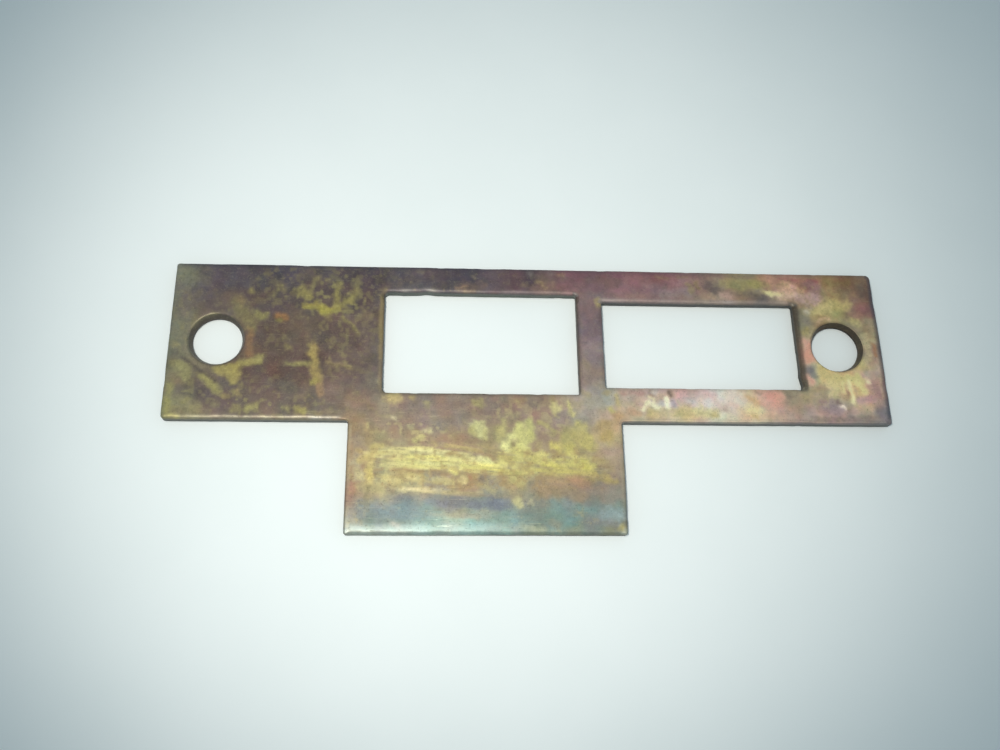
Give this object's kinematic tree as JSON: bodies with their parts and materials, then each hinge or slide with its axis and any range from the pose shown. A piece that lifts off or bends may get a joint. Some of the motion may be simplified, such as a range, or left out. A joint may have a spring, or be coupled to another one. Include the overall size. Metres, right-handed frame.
{
  "type": "strike plate",
  "caption": "Flat lipped strike plate for a mortise lock: a thin brass plate with rectangular latch and dead bolt openings, countersunk screw holes and a projecting lip.",
  "frame": {"origin": "midway between the two screw holes, on the back face", "axes": "+X along the plate from the latch opening to the dead bolt opening, -Y the way the lip points, +Z out of the front face"},
  "size_m": [0.1238, 0.0477, 0.002],
  "materials": {
    "aged_brass": "brown aged patina with yellow-green rubbed patches, worn bright along the edges"
  },
  "bodies": {
    "root": {"strike_plate": "aged_brass"}
  },
  "joints": []
}
